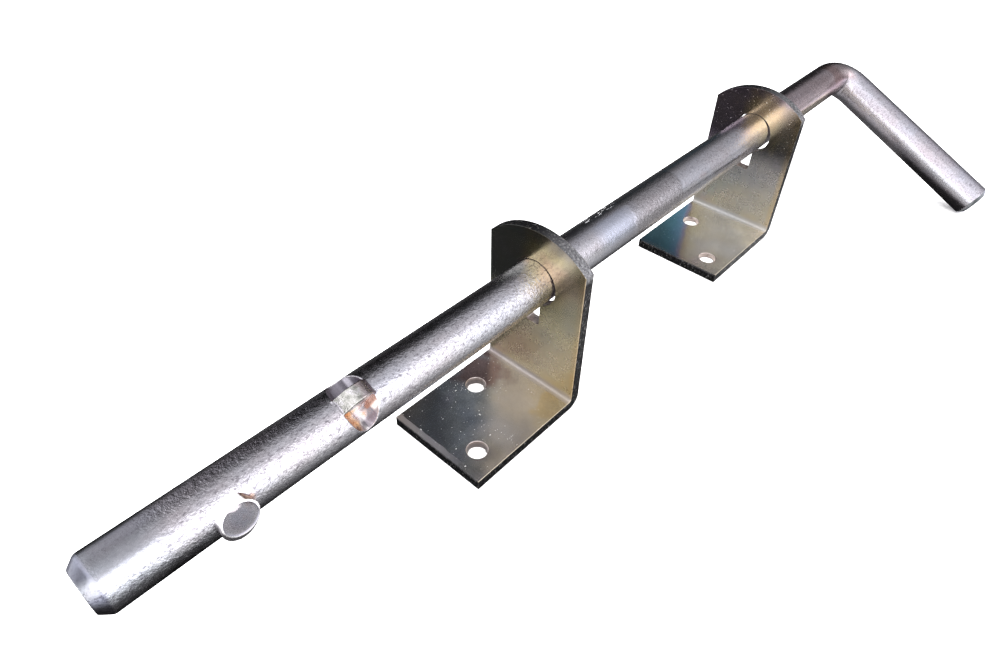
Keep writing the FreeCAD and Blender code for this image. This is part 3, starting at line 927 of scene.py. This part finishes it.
# ---------------------------------------------------------------- floor, light, camera
def build_floor():
    n = 24
    size = 6.0
    verts, faces = [], []
    for i in range(n + 1):
        for j in range(n + 1):
            verts.append((-size / 2 + size * i / n, -size / 2 + size * j / n, -0.00005))
    for i in range(n):
        for j in range(n):
            a = i * (n + 1) + j
            faces.append((a, a + n + 1, a + n + 2, a + 1))
    ob = new_object("floor", verts, faces, scale=1.0)
    m = Net("floor_pale")
    v = m.coords()
    g = m.noise(v, 300.0, 3.0, 0.6)
    col = m.ramp(g, [(0.3, (0.86, 0.86, 0.86)), (0.7, (0.90, 0.90, 0.90))])
    m.put(m.bsdf.inputs["Base Color"], col)
    m.bsdf.inputs["Roughness"].default_value = 0.7
    m.bsdf.inputs["Specular IOR Level"].default_value = 0.2
    m.bsdf.inputs["Emission Color"].default_value = (1.0, 1.0, 1.0, 1.0)
    m.bsdf.inputs["Emission Strength"].default_value = 0.25
    # seen only in reflections, the floor carries a painted map of light and shade: a painted shadow close to the object
    # and under the handle, paler further out and under the base plates
    lp = m.node("ShaderNodeLightPath")
    deep = m.node("ShaderNodeBsdfDiffuse")
    fx, fy, fz = m.xyz(v)
    back = m.map(fy, 0.0, -0.5, 0.0, 1.0, smooth=False)
    near_end = m.ramp(back, [(0.0, 0.014), (0.04, 0.020), (0.07, 0.070), (0.10, 0.088), (0.14, 0.112), (0.20, 0.165), (0.31, 0.205), (0.62, 0.37), (1.0, 0.50)])
    far_end = m.ramp(back, [(0.0, 0.02), (0.04, 0.03), (0.07, 0.085), (0.14, 0.092), (0.20, 0.10), (0.31, 0.115), (0.62, 0.15), (1.0, 0.17)])
    along = m.map(m.math("ADD", fx, m.mul(fy, 0.75)), 0.06, 0.12)
    dim = m.math("ADD", m.map(fx, -0.150, -0.045), m.mul(m.map(fx, -0.130, -0.146), 0.26))
    near_end = m.mul(near_end, m.math("ADD", m.mul(m.map(back, 0.15, 0.30), 0.65), m.mul(dim, m.math("SUBTRACT", 1.0, m.mul(m.map(back, 0.15, 0.30), 0.65)))))
    near_end = m.mul(near_end, m.math("ADD", 1.0, m.mul(m.map(fx, -0.02, 0.08), m.map(fy, -0.12, -0.08), 0.40)))
    lit = m.mix(along, near_end, far_end)
    lit = m.mul(lit, m.inv(m.mul(m.band(fx, 0.304, 0.350, 0.010), m.map(fy, -0.030, -0.055), 0.9)))
    grip = m.mul(m.map(fx, 0.150, 0.180), m.map(fy, -0.042, -0.028), m.map(fy, 0.035, 0.015))
    lit = m.mix(grip, lit, m.ramp(m.map(fx, 0.18, 0.35, smooth=False), [(0.0, 0.34), (0.45, 0.32), (0.60, 0.20), (0.70, 0.10), (0.78, 0.05), (1.0, 0.04)]))
    beyond = m.map(fx, -0.24, -0.36)
    lit = m.mix(m.mul(beyond, m.map(fy, -0.60, -0.30)), lit, (0.50, 0.49, 0.51))
    under = m.math("ADD", m.band(fx, -0.030, 0.030, 0.002), m.band(fx, 0.158, 0.218, 0.002))
    lit = m.math("ADD", lit, m.mul(under, m.band(fy, -0.023, 0.023, 0.002), 0.40))
    m.put(deep.inputs["Color"], lit)
    mx = m.node("ShaderNodeMixShader")
    m.link(lp.outputs["Is Glossy Ray"], mx.inputs[0])
    m.link(m.bsdf.outputs[0], mx.inputs[1])
    m.link(deep.outputs[0], mx.inputs[2])
    m.link(mx.outputs[0], m.out.inputs[0])
    ob.data.materials.append(m.mat)
    return ob


floor = build_floor()


def area(name, loc, target, size, power, color=(1, 1, 1), size_y=None):
    li = bpy.data.lights.new(name, "AREA")
    li.energy = power
    li.color = color
    li.shape = "RECTANGLE" if size_y else "SQUARE"
    li.size = size
    if size_y:
        li.size_y = size_y
    ob = bpy.data.objects.new(name, li)
    ob.location = loc
    d = Vector(target) - Vector(loc)
    ob.rotation_euler = d.to_track_quat("-Z", "Y").to_euler()
    SCENE.collection.objects.link(ob)
    return ob


# light for the floor alone: wide, overhead, soft
over = area("overhead", (0.08, 0.0, 2.2), (0.08, 0.0, 0.0), 5.0, 330, (1, 1, 1))
over.visible_glossy = False

# the studio round the object: dark straight ahead, bright panels behind and beside the viewer
world = bpy.data.worlds.new("studio")
world.use_nodes = True
SCENE.world = world
w = Net("studio", world.node_tree)
w_out = w.node("ShaderNodeOutputWorld")
bg = w.node("ShaderNodeBackground")
tc = w.node("ShaderNodeTexCoord")
nv = w.node("ShaderNodeVectorMath", operation="NORMALIZE")
w.link(tc.outputs["Generated"], nv.inputs[0])
sep = w.node("ShaderNodeSeparateXYZ")
w.link(nv.outputs[0], sep.inputs[0])
dx, dy, dz = sep.outputs
phi = w.map(w.math("ARCTAN2", dz, dy), 0.0, math.pi, 0.0, 1.0, smooth=False)


def panel(*stops):
    return w.ramp(phi, [(p / 180, v) for p, v in stops])


main = panel((0, .008), (35, .009), (45, .028), (58, .052), (66, .14), (71, .30), (81, .54), (91, .67), (101, .75), (111, .86), (121, .98), (127, 1.2), (136, 1.8), (150, 2.35), (168, 2.35), (180, 1.6))
start = panel((0, .15), (15, .34), (30, .40), (42, .38), (55, .33), (70, .36), (80, .41), (91, .47), (101, .53), (111, .65), (121, .88), (128, 1.4), (136, 2.2), (150, 2.7), (165, 2.7), (180, 1.8))
broad = panel((0, .008), (35, .009), (45, .028), (58, .055), (66, .14), (71, .28), (81, .48), (91, .57), (101, .65), (111, .74), (121, .86), (127, 1.0), (136, 1.36), (150, 1.95), (168, 1.95), (180, 1.45))
second = panel((0, .02), (40, .035), (52, .08), (61, .15), (71, .24), (81, .32), (91, .39), (101, .48), (111, .57), (121, .72), (131, .90), (141, 1.0), (165, 1.0), (175, .80), (180, .62))
third = panel((0, .035), (30, .062), (41, .12), (51, .17), (61, .26), (71, .37), (81, .47), (91, .51), (101, .54), (111, .60), (121, .66), (131, .71), (141, .75), (151, .76), (165, .70), (175, .56), (180, .46))
last = panel((0, .008), (35, .010), (45, .03), (55, .08), (65, .20), (75, .25), (95, .22), (110, .195), (125, .20), (140, .29), (160, .32), (170, .40), (176, .75), (180, .80))
amb = w.mix(w.map(dx, 0.09, 0.16), start, main)
amb = w.mix(w.map(dx, 0.27, 0.42), amb, broad)
amb = w.mix(w.map(dx, 0.60, 0.65), amb, second)
amb = w.mix(w.map(dx, 0.735, 0.765), amb, third)
amb = w.mix(w.map(dx, 0.845, 0.862), amb, last)
strip = w.math("MULTIPLY", w.map(dx, 0.722, 0.728), w.map(dx, 0.778, 0.772))
strip = w.math("MULTIPLY", strip, w.math("MULTIPLY", w.map(phi, 61 / 180, 75 / 180), w.map(phi, 176 / 180, 170 / 180)))
amb = w.math("MULTIPLY", amb, w.math("SUBTRACT", 1.0, w.math("MULTIPLY", strip, 0.34)))
behind = panel((0, .17), (40, .22), (80, .28), (98, .5), (108, 1.9), (150, 2.3), (165, 1.4), (180, .9))
shine = w.math("MULTIPLY", w.math("MULTIPLY", w.map(dx, -0.785, -0.795), w.map(dx, -0.87, -0.85)), w.map(phi, 26 / 180, 16 / 180))
amb = w.mix(w.map(dx, -0.04, -0.34), amb, (1.5, 1.5, 1.5))
amb = w.mix(w.math("MULTIPLY", w.map(dx, -0.66, -0.73), w.math("SUBTRACT", 1.0, shine)), amb, behind)
dark = w.math("MULTIPLY", w.map(dx, 0.09, 0.15), w.map(phi, 60 / 180, 45 / 180))
amb = w.math("MULTIPLY", amb, w.map(dz, -0.06, 0.03, 0.03, 1.0))
mauve = w.math("MULTIPLY", w.math("MULTIPLY", w.map(dx, 0.16, 0.09), w.map(dx, 0.01, 0.06)), w.map(phi, 75 / 180, 50 / 180))
tint = w.mix(dark, (0.965, 0.95, 1.0), (0.96, 0.96, 1.0))
tint = w.mix(mauve, tint, (0.97, 0.89, 1.0))
teal = w.math("MULTIPLY", w.math("MULTIPLY", w.map(dx, 0.735, 0.765), w.map(dx, 0.862, 0.845)), w.map(phi, 40 / 180, 15 / 180))
tint = w.mix(teal, tint, (0.62, 0.95, 1.15))
w.link(tint, bg.inputs["Color"])
w.link(amb, bg.inputs["Strength"])
# seen directly, the backdrop is plain and pale like the floor
plain = w.node("ShaderNodeBackground")
plain.inputs["Color"].default_value = (1.0, 1.0, 1.0, 1.0)
plain.inputs["Strength"].default_value = 1.0
ray = w.node("ShaderNodeLightPath")
pick = w.node("ShaderNodeMixShader")
w.link(ray.outputs["Is Camera Ray"], pick.inputs[0])
w.link(bg.outputs[0], pick.inputs[1])
w.link(plain.outputs[0], pick.inputs[2])
w.link(pick.outputs[0], w_out.inputs[0])

SCENE.view_settings.view_transform = "Standard"

YAW, PITCH, ROLL = 0.728486, 0.739446, 0.021997
d = Vector((math.cos(YAW) * math.cos(PITCH), math.sin(YAW) * math.cos(PITCH), -math.sin(PITCH)))
r = d.cross(Vector((0, 0, 1))).normalized()
u = r.cross(d)
r2 = r * math.cos(ROLL) + u * math.sin(ROLL)
u2 = -r * math.sin(ROLL) + u * math.cos(ROLL)
cam_data = bpy.data.cameras.new("camera")
cam_data.sensor_fit = "HORIZONTAL"
cam_data.sensor_width = 36.0
cam_data.lens = 695.8397 / 1000 * 36.0
cam_data.clip_start = 0.01
cam = bpy.data.objects.new("camera", cam_data)
SCENE.collection.objects.link(cam)
mw = Matrix((r2, u2, -d)).transposed().to_4x4()
mw.translation = Vector((X0 + 7.0715, -140.9678, 237.7614)) * MM
cam.matrix_world = mw
SCENE.camera = cam

bpy.context.view_layer.update()
